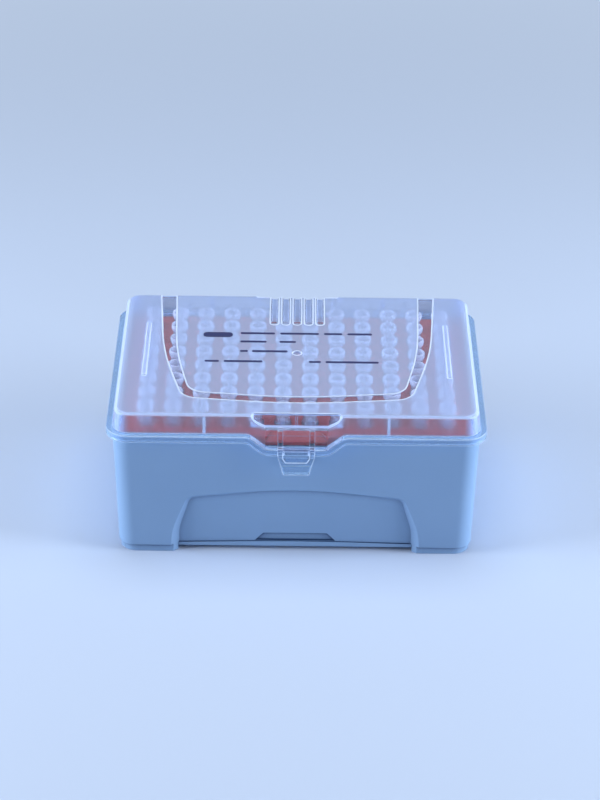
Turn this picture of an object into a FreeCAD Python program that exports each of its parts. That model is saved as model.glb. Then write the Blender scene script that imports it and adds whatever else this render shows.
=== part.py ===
import FreeCAD, Part
import math
import os
import re
import Sketcher

Vector = FreeCAD.Vector
doc = FreeCAD.newDocument("tip_box")
sheet = doc.addObject("Spreadsheet::Sheet", "sizes")

# Driving sizes in millimetres. The origin is on the ground under the middle of the tip grid, +Z is up and
# the latch is at the front, towards -Y. "Wide" is along X, "deep" along Y and "tall" along Z.
SIZES = {
    # tip grid
    "pitch": 9.0,
    "columns": 12,
    "rows": 8,
    # tub
    "side_margin": 10.7,
    "end_margin": 10.3,
    "tall": 46.0,
    "wall": 1.6,
    "draft": 1.3,
    "corner": 5.5,
    "floor_rise": 1.7,
    "floor_thick": 1.8,
    "foot_tall": 2.8,
    "foot_inset": 0.6,
    "foot_run": 16.9,
    "foot_core": 1.5,
    # arched panels between the feet
    "arch_deep": 2.3,
    "arch_lip": 0.6,
    "arch_splay": 1.28,
    "arch_lean": 6.9,
    "arch_bend": 1.3,
    "arch_knee": 8.9,
    "arch_tall": 22.3,
    "arch_crown": 3.9,
    "arch_round": 4.0,
    "sill_tall": 1.2,
    "sill_crown": 0.9,
    "sill_proud": 0.4,
    "knee_round": 24.0,
    "crown_share": 0.48,
    "grip_half": 10.6,
    "grip_flare": 2.8,
    "grip_low": 3.9,
    "grip_high": 7.0,
    "grip_deep": 0.8,
    # dip in the front edge, shared by the tub and the lid's rim
    "dip_half": 15.6,
    "dip_run": 5.5,
    "dip_deep": 4.6,
    "dip_round": 4.0,
    # rests inside the tub that carry the rack
    "rest_thick": 1.2,
    "rest_reach": 2.6,
    "rest_half_wide": 32.0,
    "rest_half_deep": 15.0,
    # rack
    "rack_sink": 0.8,
    "rack_thick": 1.5,
    "rack_skirt": 3.0,
    "skirt_thick": 1.2,
    "rack_gap": 0.3,
    "ramp_half": 8.0,
    "ramp_flare": 3.2,
    "ramp_run": 3.6,
    "ramp_drop": 1.8,
    "hole_gap": 0.12,
    # tips and their filter plugs
    "tip_sides": 6,
    "tip_long": 31.5,
    "tip_collar": 5.8,
    "collar_tall": 6.6,
    "tip_waist": 4.6,
    "tip_end": 1.0,
    "tip_wall": 0.35,
    "bore_deep": 8.2,
    "filter_tall": 3.8,
    "filter_gap": 0.08,
    # lid
    "tip_room": 0.9,
    "lid_wall": 1.3,
    "lid_draft": 0.8,
    "lid_edge": 0.9,
    "seat_gap": 0.08,
    "rim_over": 2.1,
    "rim_shelf": 1.1,
    "rim_tall": 2.4,
    "rim_gap": 0.3,
    "scoop_half": 14.8,
    "scoop_lean": 0.5,
    "scoop_flare": 4.5,
    "scoop_tall": 4.65,
    "scoop_knee": 2.5,
    "scoop_round": 5.0,
    "scoop_deep": 1.4,
    "scoop_splay": 1.0,
    "rib_thick": 0.9,
    "rib_reach": 1.0,
    "rib_half_wide": 30.0,
    "rib_half_deep": 15.2,
    "middle_rib_thick": 0.6,
    "middle_rib_reach": 0.5,
    # label panel on the lid, framed by a shallow sunk band
    "panel_side": 11.6,
    "panel_lean": 2.7,
    "panel_taper": 10.2,
    "panel_front": 10.9,
    "panel_crown": 3.7,
    "panel_round": 7.0,
    "panel_sweep": 150.0,
    "band_deep": 0.35,
    "band_back": 5.5,
    "band_middle": 4.4,
    "band_turn": 2.2,
    "band_front": 3.9,
    # stacking bars, vent grooves and gate mark on the lid
    "bar_inset": 8.6,
    "bar_wide": 1.3,
    "bar_half": 17.8,
    "bar_shift": 1.8,
    "bar_proud": 0.4,
    "grooves": 5,
    "groove_step": 3.93,
    "groove_wide": 3.0,
    "groove_deep": 0.7,
    "groove_long": 21.5,
    "groove_slope": 4.7,
    "gate_sides": 12,
    "gate_wide": 3.2,
    "gate_deep": 0.4,
    # latch tab and catch
    "tab_half": 5.9,
    "tab_taper": 1.65,
    "tab_thick": 1.1,
    "tab_drop": 11.5,
    "tab_lip": 1.0,
    "tab_foot": 0.6,
    "flare_tall": 4.0,
    "tab_step": 0.4,
    "pocket_deep": 0.35,
    "pocket_taper": 1.0,
    "slot_wide": 0.5,
    "slot_tall": 1.5,
    "hook_tall": 1.6,
    "hook_reach": 0.9,
    "catch_gap": 0.15,
    "catch_tall": 1.6,
    "catch_ramp": 2.4,
    "catch_half": 3.6,
    "gusset_half": 5.2,
    "gusset_thick": 1.6,
    "gusset_rise": 2.5,
    # hinges
    "hinge_half": 33.8,
    "hinge_drop": 2.0,
    "pin_wide": 2.2,
    "pin_gap": 0.08,
    "clip_wall": 1.12,
    "clip_grip": 0.5,
    "arm_span": 7.0,
    "arm_thick": 1.0,
    "arm_gap": 0.4,
    "arm_wall": 0.8,
    "arm_clear": 0.6,
    "arm_rise": 5.5,
    # how far a cutting form runs past what it cuts, and the share of a half width that a round may take
    "past": 1.0,
    "most_round": 0.97,
}

# Sizes and heights that follow from the driving ones
DERIVED = {
    "wide": "(columns - 1) * pitch + 2 * side_margin",
    "deep": "(rows - 1) * pitch + 2 * end_margin",
    "floor_top": "floor_rise + floor_thick",
    "reveal": "draft * arch_tall / tall",
    "foot_span": "foot_run + arch_splay * arch_deep",
    "arch_reach": "arch_deep + reveal + arch_lip / 4",
    "rack_top": "tall - rack_sink",
    "rack_low": "rack_top - rack_skirt",
    "tip_top": "rack_top + collar_tall",
    "tip_low": "tip_top - tip_long",
    "bore_floor": "tip_top - bore_deep",
    "taper": "(tip_waist - tip_end) / (tip_long - collar_tall)",
    "taper_at_floor": "tip_waist - taper * (bore_deep - collar_tall)",
    "bore": "taper_at_floor - 2 * tip_wall / cos(180 / tip_sides)",
    "lid_low": "tall + seat_gap",
    "lid_top": "tip_top + tip_room + lid_wall",
    "lid_half_wide": "wide / 2 - lid_draft",
    "lid_half_deep": "deep / 2 - lid_draft",
    "rim_low": "tall + rim_shelf - rim_tall",
    "rim_top": "tall + rim_shelf",
    "clip_round": "pin_wide / 2 + pin_gap + clip_wall",
    "arm_round": "pin_wide / 2 + arm_wall",
    "reach": "arm_clear + arm_round + clip_round",
    "hinge_back": "deep / 2 + arm_clear + arm_round",
    "hinge_high": "tall - hinge_drop",
    "tab_low": "tall - tab_drop",
    "tab_outer": "-deep / 2 - reach + tab_lip",
    "tab_inner": "tab_outer + tab_thick",
    "hook_low": "tab_low + tab_lip",
    "hook_high": "hook_low + hook_tall",
}

for row, (name, number) in enumerate(SIZES.items(), start=1):
    sheet.set(f"A{row}", name)
    sheet.set(f"B{row}", str(number))
    sheet.setAlias(f"B{row}", name)
doc.recompute()

ACROSS = Vector(1, 0, 0)
DEEPWAYS = Vector(0, 1, 0)
UP = Vector(0, 0, 1)

# How an outline is turned into place, which way it is drawn out, and the letter of that axis
PLANES = {
    "front": (FreeCAD.Rotation(ACROSS, 90), DEEPWAYS, "y"),
    "side": (FreeCAD.Rotation(Vector(1, 1, 1), 120), ACROSS, "x"),
    "top": (FreeCAD.Rotation(), UP, "z"),
}


def formula(text):
    """Write a formula of size names as one that the document understands."""
    def known(word):
        name = word.group()
        if name in DERIVED:
            return "(" + formula(DERIVED[name]) + ")"
        return "sizes." + name if name in SIZES else name
    return re.sub(r"[a-z_]+", known, str(text))


def amount(text):
    """Work out a formula of size names as a plain number."""
    return float(sheet.evalExpression(formula(text)))


def bind(thing, **formulas):
    """Tie properties of an object to formulas of size names."""
    for name, text in formulas.items():
        thing.setExpression(name.replace("__", "."), formula(text))
    return thing


def block(label, left, right, front, back, low, high):
    """A plain box between six planes."""
    box = doc.addObject("Part::Box", label)
    bind(box, Length=f"({right}) - ({left})", Width=f"({back}) - ({front})", Height=f"({high}) - ({low})")
    return bind(box, Placement__Base__x=left, Placement__Base__y=front, Placement__Base__z=low)


def outline(label, plane, points, rounds):
    """A closed sketch through points given as formulas. Rounds names the radius of each rounded corner."""
    sketch = doc.addObject("Sketcher::SketchObject", label)
    sketch.Placement = FreeCAD.Placement(Vector(), PLANES[plane][0])
    places = [Vector(amount(right), amount(up), 0) for right, up in points]
    following = places[1:] + places[:1]
    lines = [sketch.addGeometry(Part.LineSegment(*ends), False) for ends in zip(places, following)]
    for line, after in zip(lines, lines[1:] + lines[:1]):
        sketch.addConstraint(Sketcher.Constraint("Coincident", line, 2, after, 1))
    for line, place, point in zip(lines, places, points):
        for kind, number, text in zip(("DistanceX", "DistanceY"), place, point):
            index = sketch.addConstraint(Sketcher.Constraint(kind, -1, 1, line, 1, number))
            sketch.setExpression(f"Constraints[{index}]", formula(text))
    for corner, radius in rounds.items():
        middles = [(places[corner] + near) / 2 for near in (places[corner - 1], following[corner])]
        sketch.fillet(lines[corner - 1], lines[corner], *middles, amount(radius), True, True)
        arc = sketch.GeometryCount - 2
        index = sketch.addConstraint(Sketcher.Constraint("Radius", arc, amount(radius)))
        sketch.setExpression(f"Constraints[{index}]", formula(radius))
    sketch.solve()
    return sketch


def prism(label, plane, start, end, points, rounds=None):
    """An outline drawn out from one distance to another, away from the viewer or up."""
    sketch = outline(label + "_outline", plane, points, rounds or {})
    _, direction, axis = PLANES[plane]
    sketch.setExpression("Placement.Base." + axis, formula(start))
    solid = doc.addObject("Part::Extrusion", label)
    solid.Base = sketch
    solid.DirMode = "Custom"
    solid.Dir = direction
    solid.Solid = True
    return bind(solid, LengthFwd=f"({end}) - ({start})")


def tray(label, half_wide, half_deep, low, high, corner, lean="0"):
    """A block with round corners. All its sides lean in by the same amount on the way up."""
    corners = [(f"-({half_wide})", f"-({half_deep})"), (half_wide, f"-({half_deep})"),
               (half_wide, half_deep), (f"-({half_wide})", half_deep)]
    solid = prism(label, "top", low, high, corners, dict.fromkeys(range(4), corner))
    return bind(solid, TaperAngle=f"-atan(({lean}) / (({high}) - ({low})))")


def wedge(label, low_wide, low_deep, high_wide, high_deep, low, high):
    """A block with leaning sides. Widths and depths are measured whole."""
    solid = doc.addObject("Part::Wedge", label)
    solid.Placement = FreeCAD.Placement(Vector(), FreeCAD.Rotation(ACROSS, 90))
    bind(solid, Ymin=low, Ymax=high)
    bind(solid, Xmin=f"-({low_wide}) / 2", Xmax=f"({low_wide}) / 2")
    bind(solid, Zmin=f"-({low_deep}) / 2", Zmax=f"({low_deep}) / 2")
    bind(solid, X2min=f"-({high_wide}) / 2", X2max=f"({high_wide}) / 2")
    return bind(solid, Z2min=f"-({high_deep}) / 2", Z2max=f"({high_deep}) / 2")


def regular(label, sides, across, low, high):
    """A prism with a regular section, measured over its corners."""
    solid = doc.addObject("Part::Prism", label)
    bind(solid, Polygon=sides, Circumradius=f"({across}) / 2")
    return bind(solid, Height=f"({high}) - ({low})", Placement__Base__z=low)


def regular_taper(label, sides, low_across, low, high_across, high):
    """A regular section that grows from one height to another, built from its flat faces."""
    corners = int(amount(sides))
    turns = [2 * math.pi * corner / corners for corner in range(corners)]
    rings = []
    for across, height in ((low_across, low), (high_across, high)):
        radius = amount(across) / 2
        flat = [Vector(radius * math.cos(turn), radius * math.sin(turn), 0) for turn in turns]
        rings.append([point + UP * amount(height) for point in flat])
    walls = [[rings[0][i - 1], rings[0][i], rings[1][i], rings[1][i - 1]] for i in range(corners)]
    faces = [Part.Face(Part.makePolygon(points + points[:1])) for points in rings + walls]
    solid = doc.addObject("Part::Feature", label)
    solid.Shape = Part.Solid(Part.makeShell(faces))
    return solid


def hinge_bar(label, radius, left, right):
    """A round bar on the hinge line."""
    bar = doc.addObject("Part::Cylinder", label)
    bar.Placement = FreeCAD.Placement(Vector(), FreeCAD.Rotation(DEEPWAYS, 90))
    bind(bar, Radius=radius, Height=f"({right}) - ({left})")
    bind(bar, Placement__Base__y="hinge_back", Placement__Base__z="hinge_high")
    return bind(bar, Placement__Base__x=left)


def eased(label, kind, base, size, picks):
    """Round or bevel the edges of a solid that picks() accepts."""
    doc.recompute()
    solid = doc.addObject("Part::" + kind, label)
    solid.Base = base
    width = amount(size)
    picked = [index for index, edge in enumerate(base.Shape.Edges, start=1) if picks(edge)]
    solid.Edges = [(index, width, width) for index in picked]
    return solid


def upright(edge):
    """True for an edge that climbs, such as the corner of a wedge."""
    box = edge.BoundBox
    return box.ZLength > max(box.XLength, box.YLength)


def topmost(edge):
    """True for an edge in the plane of the lid's top."""
    return edge.BoundBox.ZMin > amount("lid_top - lid_edge / 2")


def joined(label, *parts):
    fuse = doc.addObject("Part::MultiFuse", label)
    fuse.Shapes = list(parts)
    fuse.Refine = True
    return fuse


def less(label, base, *tools):
    cut = doc.addObject("Part::Cut", label)
    cut.Base = base
    cut.Tool = tools[0] if len(tools) == 1 else joined(label + "_tools", *tools)
    cut.Refine = True
    return cut


def shared(label, *parts):
    common = doc.addObject("Part::MultiCommon", label)
    common.Shapes = list(parts)
    return common


def both_sides(label, source, normal):
    """A thing with its mirror image."""
    mirror = doc.addObject("Part::Mirroring", label + "_mirror")
    mirror.Source = source
    mirror.Normal = normal
    return joined(label, source, mirror)


def four_times(label, source):
    """A thing with its mirror images left and right, front and back."""
    return both_sides(label, both_sides(label + "_pair", source, DEEPWAYS), ACROSS)


def gathered(label, parts):
    group = doc.addObject("Part::Compound", label)
    group.Links = list(parts)
    return group


def repeated(label, source, count, step, axis):
    """Copies of a thing in an even row about the middle, as a list."""
    copies = []
    for place in range(int(amount(count))):
        copy = gathered(f"{label}_{place + 1:02d}", [source])
        copies.append(bind(copy, **{"Placement__Base__" + axis: f"({place} - ({count} - 1) / 2) * {step}"}))
    return copies


def both_halves(points):
    """The right half of an outline, followed by its mirror image."""
    return points + [(f"-({right})", up) for right, up in reversed(points)]


def lean_at(height):
    """How far each wall of the tub has leaned in at a height below its edge."""
    return f"draft * (tall - ({height})) / tall"


def half_wide_at(height, inset="0"):
    return f"(wide / 2 - {lean_at(height)} - ({inset}))"


def half_deep_at(height, inset="0"):
    return f"(deep / 2 - {lean_at(height)} - ({inset}))"


def drafted(label, low, high, inset="0"):
    """The tub's leaning form between two heights, set in all round, with round corners."""
    faces = wedge(label + "_faces", f"2 * {half_wide_at(low, inset)}", f"2 * {half_deep_at(low, inset)}",
                  f"2 * {half_wide_at(high, inset)}", f"2 * {half_deep_at(high, inset)}", low, high)
    return eased(label, "Fillet", faces, f"corner - ({inset})", upright)


def sunk_face(half_deep, height):
    """Where the arched panel at the front has its face at a height, in a wall half_deep out at its foot."""
    sink = f"arch_deep - (arch_deep - arch_lip) * ({height}) / (arch_tall + arch_crown)"
    return f"(-({half_deep}) - draft * ({height}) / tall + {sink})"


def arch(label, half_wide, half_deep, more, splay):
    """The space that the arched panel at the front is sunk by, in a box of a given size at its foot.

    More makes it larger all round, which leaves the panel its thickness. Splay is how far its sides close in
    for each millimetre of depth.
    """
    side = f"({half_wide}) - foot_run + arch_splay * reveal + {more}"
    low = "-past - arch_splay * arch_reach"
    crown = f"arch_tall + arch_crown + {more}"
    corners = both_halves([
        (side, low),
        (f"{side} - arch_bend", "arch_knee"),
        (f"{side} - arch_lean", f"arch_tall + {more}"),
    ])
    corners.insert(3, ("0", crown))
    sweep = f"crown_share * ({side} - arch_lean) ^ 2 / arch_crown"
    rounds = {1: "knee_round", 2: "arch_round", 3: sweep, 4: "arch_round", 5: "knee_round"}
    face = f"-({half_deep})"
    clear = f"{face} - draft - past"
    mouth = prism(label + "_mouth", "front", clear, f"{face} - reveal", corners, rounds)
    throat = prism(label + "_throat", "front", f"{face} - reveal", f"{face} - reveal + arch_reach + {more}",
                   corners, rounds)
    bind(throat, TaperAngle=f"-atan({splay})")
    slant = prism(label + "_slant", "side", f"-2 * ({half_wide})", f"2 * ({half_wide})", [
        (clear, "-past"),
        (f"{sunk_face(half_deep, '-past')} + {more}", "-past"),
        (f"{sunk_face(half_deep, crown)} + {more}", crown),
        (clear, crown),
    ])
    return shared(label, joined(label + "_opening", mouth, throat), slant)


def sill(label, half_wide, half_deep):
    """The thicker lower edge of the arched panel at the front, with a bowed top."""
    side = f"({half_wide}) - foot_span"
    top = "floor_rise + sill_tall"
    corners = both_halves([(side, "floor_rise"), (side, top)])
    corners.insert(2, ("0", f"{top} + sill_crown"))
    sweep = f"crown_share * ({side}) ^ 2 / sill_crown"
    face = sunk_face(half_deep, "floor_rise")
    return prism(label, "front", f"{face} - sill_proud", f"{face} + wall / 2", corners, {2: sweep})


def all_sides(label, maker, *more):
    """What maker() makes at the front, there and on the other three sides."""
    half_wide = half_wide_at("0")
    half_deep = half_deep_at("0")
    front = maker(label + "_front", half_wide, half_deep, *more)
    end = gathered(label + "_side", [maker(label + "_end", half_deep, half_wide, *more)])
    end.Placement = FreeCAD.Placement(Vector(), FreeCAD.Rotation(UP, 90))
    return [both_sides(label + "_fronts", front, DEEPWAYS), both_sides(label + "_sides", end, ACROSS)]


def dip_line(up):
    """The right half of a line that runs parallel to the dipped front edge, and the radii of its bends."""
    shift = f"({up}) * tan(atan(dip_deep / dip_run) / 2)"
    points = [
        (f"dip_half - {shift}", f"tall + {up}"),
        (f"dip_half - dip_run - {shift}", f"tall - dip_deep + {up}"),
    ]
    return points, f"dip_round + ({up})", f"dip_round - ({up})"


def dip_strip(label, start, end, low, high):
    """A strip along the front edge that follows its dip. Low and high are measured up from the edge."""
    top, top_outer, top_inner = dip_line(high)
    base, base_outer, base_inner = dip_line(low)
    top.insert(0, ("dip_half + past", f"tall + {high}"))
    base.insert(0, ("dip_half + past", f"tall + {low}"))
    right_base = list(reversed(base))
    left_base = [(f"-({right})", up) for right, up in base]
    rounds = {1: top_outer, 2: top_inner, 3: top_inner, 4: top_outer,
              7: base_outer, 8: base_inner, 9: base_inner, 10: base_outer}
    return prism(label, "front", start, end, both_halves(top) + left_base + right_base, rounds)


def dip_notch(label, start, end, up):
    """Everything above a line that runs parallel to the dipped front edge."""
    line, outer, inner = dip_line(up)
    side = "dip_half + dip_run"
    points = [(side, f"tall + {up} + dip_deep"), (side, f"tall + {up}")] + line
    return prism(label, "front", start, end, both_halves(points), {2: outer, 3: inner, 4: inner, 5: outer})


def make_tub():
    """The tub: a drafted shell on four cored feet, with an arched panel sunk into each side."""
    foot_wide = half_wide_at("0", "foot_inset")
    foot_deep = half_deep_at("0", "foot_inset")
    walls = drafted("tub_walls", "foot_tall", "tall")
    feet = tray("tub_feet", foot_wide, foot_deep, "0", "foot_tall", "corner")
    under = [
        block("under_long", f"foot_span - {half_wide_at('0')}", f"{half_wide_at('0')} - foot_span",
              "-deep", "deep", "-past", "floor_rise"),
        block("under_short", "-wide", "wide", f"foot_span - {half_deep_at('0')}",
              f"{half_deep_at('0')} - foot_span", "-past", "floor_rise"),
    ]
    inset = "foot_span - wall - arch_deep / 2"
    core = block("foot_core_space", f"{half_wide_at('0')} - ({inset})", f"{foot_wide} - wall",
                 f"{half_deep_at('0')} - ({inset})", f"{foot_deep} - wall", "-past", "foot_core")
    grip_face = sunk_face(half_deep_at("0"), "grip_high")
    grip = prism("grip_recess", "front", f"-{half_deep_at('0')} - past", f"{grip_face} + grip_deep",
                 both_halves([("grip_half + grip_flare", "grip_low"), ("grip_half", "grip_high")]))
    sunk = less("tub_sunk", joined("tub_form", walls, feet), *all_sides("arch", arch, "0", "arch_splay"))
    outside = less("tub_outside", joined("tub_silled", sunk, *all_sides("sill", sill)), *under,
                   four_times("foot_cores", core), grip)

    hollow = drafted("tub_hollow", "floor_top", "tall + past", "wall")
    rest_wide = half_wide_at("rack_low", "wall")
    rest_deep = half_deep_at("rack_low", "wall")
    long_rest = block("rest_long", "rest_half_wide - rest_thick / 2", "rest_half_wide + rest_thick / 2",
                      f"{rest_deep} - rest_reach", f"{rest_deep} + wall / 2", "floor_top", "rack_low")
    short_rest = block("rest_short", f"{rest_wide} - rest_reach", f"{rest_wide} + wall / 2",
                       "rest_half_deep - rest_thick / 2", "rest_half_deep + rest_thick / 2",
                       "floor_top", "rack_low")
    space = less("tub_space", hollow, *all_sides("arch_back", arch, "wall", "0"),
                 four_times("rests_long", long_rest), four_times("rests_short", short_rest))
    notch = dip_notch("tub_notch", "-deep / 2 - past", "-deep / 2 + wall + past", "0")

    catch_face = "tab_inner + hook_reach + catch_gap"
    catch = prism("catch", "side", "-catch_half", "catch_half", [
        ("-deep / 2 + wall / 2", "hook_high"),
        (catch_face, "hook_high"),
        (catch_face, "hook_high + catch_tall / 2"),
        ("-deep / 2 + wall / 2", "hook_high + catch_ramp"),
    ])
    shell = less("tub_shell", outside, space, notch)
    return joined("base_tub", shell, catch, both_sides("clips", make_clip(), ACROSS))


def make_clip():
    """The open hook on the back of the tub that a hinge pin snaps into from above."""
    left = "hinge_half - arm_span / 2 + arm_gap"
    right = "hinge_half + arm_span / 2 - arm_gap"
    form = prism("clip_form", "side", left, right, [
        ("deep / 2 - wall / 2", "hinge_high - clip_round * 2"),
        ("hinge_back + clip_round", "hinge_high - clip_round"),
        ("hinge_back + clip_round", "hinge_high + clip_round"),
        ("hinge_back - clip_round", "hinge_high + clip_round"),
        ("hinge_back - clip_round", "hinge_high - clip_round / 4"),
        ("deep / 2 - wall / 2", "hinge_high - clip_round / 4"),
    ], dict.fromkeys((1, 2, 3), "clip_round * most_round"))
    hole = hinge_bar("clip_hole", "pin_wide / 2 + pin_gap", f"{left} - past", f"{right} + past")
    half_mouth = "(pin_wide - clip_grip) / 2"
    mouth = block("clip_mouth", f"{left} - past", f"{right} + past", f"hinge_back - {half_mouth}",
                  f"hinge_back + {half_mouth}", "hinge_high", "hinge_high + clip_round + past")
    return less("clip", form, hole, mouth)


def make_rack():
    """The rack: a skirted plate with a hole for every tip and a finger ramp at the front."""
    half_wide = half_wide_at("rack_low", "wall + rack_gap")
    half_deep = half_deep_at("rack_low", "wall + rack_gap")
    corner = "corner - wall - rack_gap"
    form = tray("rack_form", half_wide, half_deep, "rack_low", "rack_top", corner)
    hollow = tray("rack_hollow", f"{half_wide} - skirt_thick", f"{half_deep} - skirt_thick",
                  "rack_low - past", "rack_top - rack_thick", f"{corner} - skirt_thick")
    front = f"-{half_deep}"
    side = "ramp_half + ramp_flare"
    web = block("ramp_web", f"-({side} + skirt_thick)", f"{side} + skirt_thick", f"{front} + skirt_thick / 2",
                f"{front} + ramp_run + skirt_thick", "rack_low", "rack_top")
    ramp_plan = prism("ramp_plan", "top", "rack_low", "rack_top + past",
                      both_halves([(side, f"{front} - past"), ("ramp_half", f"{front} + ramp_run")]))
    ramp_slope = prism("ramp_slope", "side", f"-({side})", side, [
        (f"{front} - past", "rack_top - ramp_drop * (1 + past / ramp_run)"),
        (f"{front} + ramp_run", "rack_top"),
        (f"{front} + ramp_run", "rack_top + past"),
        (f"{front} - past", "rack_top + past"),
    ])
    hole = regular("rack_hole", "tip_sides", "(tip_waist + 2 * hole_gap) / cos(180 / tip_sides)",
                   "rack_low - past", "rack_top + past")
    column = gathered("rack_hole_line", repeated("rack_hole_row", hole, "rows", "pitch", "y"))
    holes = gathered("rack_holes", repeated("rack_hole_column", column, "columns", "pitch", "x"))
    body = joined("rack_body", less("rack_shell", form, hollow), web)
    return less("rack_plate", body, shared("ramp", ramp_plan, ramp_slope), holes)


def make_tips():
    """Filter tips: a thick collar that stands on the rack, a bore, and a long taper to the end."""
    collar = regular("tip_collar_form", "tip_sides", "tip_collar", "rack_top", "tip_top")
    taper = regular_taper("tip_taper", "tip_sides", "tip_end", "tip_low", "tip_waist", "rack_top")
    bore = regular("tip_bore", "tip_sides", "bore", "bore_floor", "tip_top + past")
    tip = less("tip", joined("tip_form", collar, taper), bore)
    column = gathered("tip_line", repeated("tip_row", tip, "rows", "pitch", "y"))
    return repeated("tips_column", column, "columns", "pitch", "x")


def make_filters():
    """Porous plugs that stand on the floor of each tip's bore."""
    plug = regular("filter", "tip_sides", "bore - 2 * filter_gap", "bore_floor", "bore_floor + filter_tall")
    column = gathered("filter_line", repeated("filter_row", plug, "rows", "pitch", "y"))
    return repeated("filters_column", column, "columns", "pitch", "x")


def panel(label, low, high, side, middle, turn, front):
    """The U of the label panel, open at the back of the lid, set in from the lid's own sides."""
    points = both_halves([
        (f"lid_half_wide - ({side})", "deep / 2 + past"),
        (f"lid_half_wide - ({middle})", "0"),
        (f"lid_half_wide - ({turn})", f"-lid_half_deep + ({front})"),
    ])
    points.insert(3, ("0", f"-lid_half_deep + ({front}) - panel_crown"))
    rounds = {1: "panel_sweep", 2: "panel_round", 3: "panel_sweep", 4: "panel_round", 5: "panel_sweep"}
    return prism(label, "top", low, high, points, rounds)


def make_lid():
    """The lid: one clear moulding with a stepped rim, a latch tab, wall ribs and hinge pins."""
    walls = tray("lid_form", "wide / 2", "deep / 2", "lid_low", "lid_top", "corner", "lid_draft")
    form = eased("lid_eased_form", "Chamfer", walls, "lid_edge", topmost)
    hollow = tray("lid_hollow", "wide / 2 - lid_wall", "deep / 2 - lid_wall", "lid_low - past",
                  "lid_top - lid_wall", "corner - lid_wall", "lid_draft")
    scoop_back = make_scoop("scoop_back", "lid_wall")
    space = less("lid_space", hollow, both_sides("scoop_backs", scoop_back, DEEPWAYS))
    outer = panel("panel_outer", "lid_top - band_deep", "lid_top + past", "panel_side",
                  "panel_side + panel_lean", "panel_side + panel_taper", "panel_front")
    inner = panel("panel_inner", "lid_top - past", "lid_top + 2 * past", "panel_side + band_back",
                  "panel_side + panel_lean + band_middle", "panel_side + panel_taper + band_turn",
                  "panel_front + band_front")
    gate = regular("gate_dimple", "gate_sides", "gate_wide", "lid_top - gate_deep", "lid_top + past")
    shell = less("lid_shell", form, both_sides("scoops", make_scoop("scoop", "0"), DEEPWAYS), space,
                 less("panel_band", outer, inner), make_grooves(), gate)
    bar_line = "lid_half_wide - bar_inset"
    bar = block("bar", f"{bar_line} - bar_wide / 2", f"{bar_line} + bar_wide / 2", "bar_shift - bar_half",
                "bar_shift + bar_half", "lid_top - lid_wall / 2", "lid_top + bar_proud")
    return joined("lid", shell, make_rim(), both_sides("bars", bar, ACROSS), *make_wall_ribs(), *make_latch(),
                  both_sides("hinge_arms", make_arms(), ACROSS))


def make_scoop(label, more):
    """The scoop in the top front edge of the lid, with splayed ends. More makes it larger all round."""
    front = "-deep / 2 - past"
    back = f"-lid_half_deep + scoop_deep + {more}"
    low = f"lid_top - scoop_tall - {more}"
    form = prism(label + "_form", "front", front, back, both_halves([
        (f"scoop_half + scoop_lean + {more}", "lid_top + past"),
        (f"scoop_half - scoop_lean + {more}", "lid_top - scoop_knee"),
        (f"scoop_half - scoop_flare + {more} / 2", low),
    ]), {1: "scoop_round", 4: "scoop_round"})
    plan = prism(label + "_plan", "top", f"{low} - past", "lid_top + 2 * past", both_halves([
        (f"scoop_half + 2 * scoop_splay + {more}", front),
        (f"scoop_half - scoop_splay + {more}", back),
    ]))
    return shared(label, form, plan)


def make_grooves():
    """Round-ended vent grooves that slope down and run out over the back edge of the lid."""
    half = "groove_wide / 2"
    floor_half = "groove_wide / 2 - groove_deep"
    start = "lid_half_deep - groove_long"
    section = prism("groove_section", "front", f"{start} - past", "deep", [
        (f"-({floor_half})", "lid_top - groove_deep"),
        (floor_half, "lid_top - groove_deep"),
        (f"{half} + past", "lid_top + past"),
        (f"-({half} + past)", "lid_top + past"),
    ])
    plan = prism("groove_plan", "top", "lid_top - lid_wall", "lid_top + past", [
        (f"-({half})", start),
        (half, start),
        (half, "deep"),
        (f"-({half})", "deep"),
    ], dict.fromkeys((0, 1), f"{half} * most_round"))
    floor = prism("groove_floor", "side", f"-({half})", half, [
        (start, "lid_top"),
        (f"{start} + groove_slope", "lid_top - groove_deep"),
        ("deep", "lid_top - groove_deep"),
        ("deep", "lid_top + past"),
        (start, "lid_top + past"),
    ])
    groove = shared("groove", section, plan, floor)
    return gathered("grooves_all", repeated("groove", groove, "grooves", "groove_step", "x"))


def make_wall_ribs():
    """Slim upright ribs on the inside of the lid's walls."""
    low = "rim_top"
    high = "lid_top - lid_wall / 2"
    long_rib = block("rib_long", "rib_half_wide - rib_thick / 2", "rib_half_wide + rib_thick / 2",
                     "lid_half_deep - lid_wall - rib_reach", "lid_half_deep - lid_wall / 2", low, high)
    short_rib = block("rib_short", "lid_half_wide - lid_wall - rib_reach", "lid_half_wide - lid_wall / 2",
                      "rib_half_deep - rib_thick / 2", "rib_half_deep + rib_thick / 2", low, high)
    behind_scoop = "-lid_half_deep + scoop_deep + lid_wall"
    middle_rib = block("rib_middle", "-middle_rib_thick / 2", "middle_rib_thick / 2",
                       f"{behind_scoop} - lid_wall / 2", f"{behind_scoop} + middle_rib_reach", low, high)
    return [four_times("ribs_long", long_rib), four_times("ribs_short", short_rib), middle_rib]


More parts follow.
